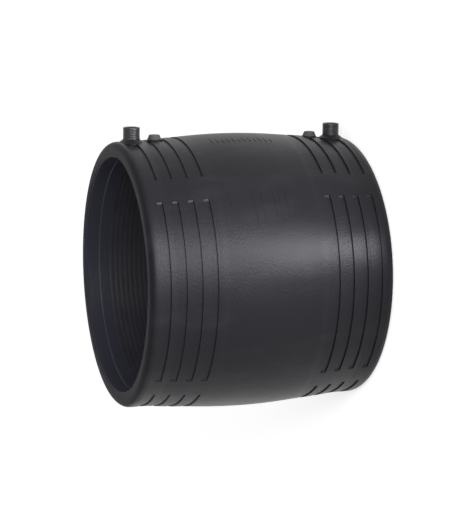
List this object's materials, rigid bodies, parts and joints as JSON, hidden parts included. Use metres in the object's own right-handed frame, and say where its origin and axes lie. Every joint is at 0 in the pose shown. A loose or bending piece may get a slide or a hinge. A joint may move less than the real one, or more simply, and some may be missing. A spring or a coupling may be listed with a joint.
{
  "type": "electrofusion coupler",
  "caption": "Black polyethylene sleeve with a wound heating wire in its bore, two terminals and two fusion indicators, which welds two pipe ends together.",
  "frame": {"origin": "on the bore's axis, midway between the two ends", "axes": "+Z along the bore, up as it stands on its lower end; +X the way the terminals stand"},
  "size_m": [0.2462, 0.239, 0.2126],
  "materials": {
    "moulding": "satin",
    "winding": "satin",
    "shroud": "semi-gloss",
    "pin": "tin plated",
    "indicator": "satin"
  },
  "bodies": {
    "root": {"coupler_body": "moulding", "heating_winding": "winding", "terminal_shroud_upper": "shroud", "terminal_shroud_lower": "shroud", "terminal_pin_upper": "pin", "terminal_pin_lower": "pin", "indicator_pin_upper": "indicator", "indicator_pin_lower": "indicator"}
  },
  "joints": []
}
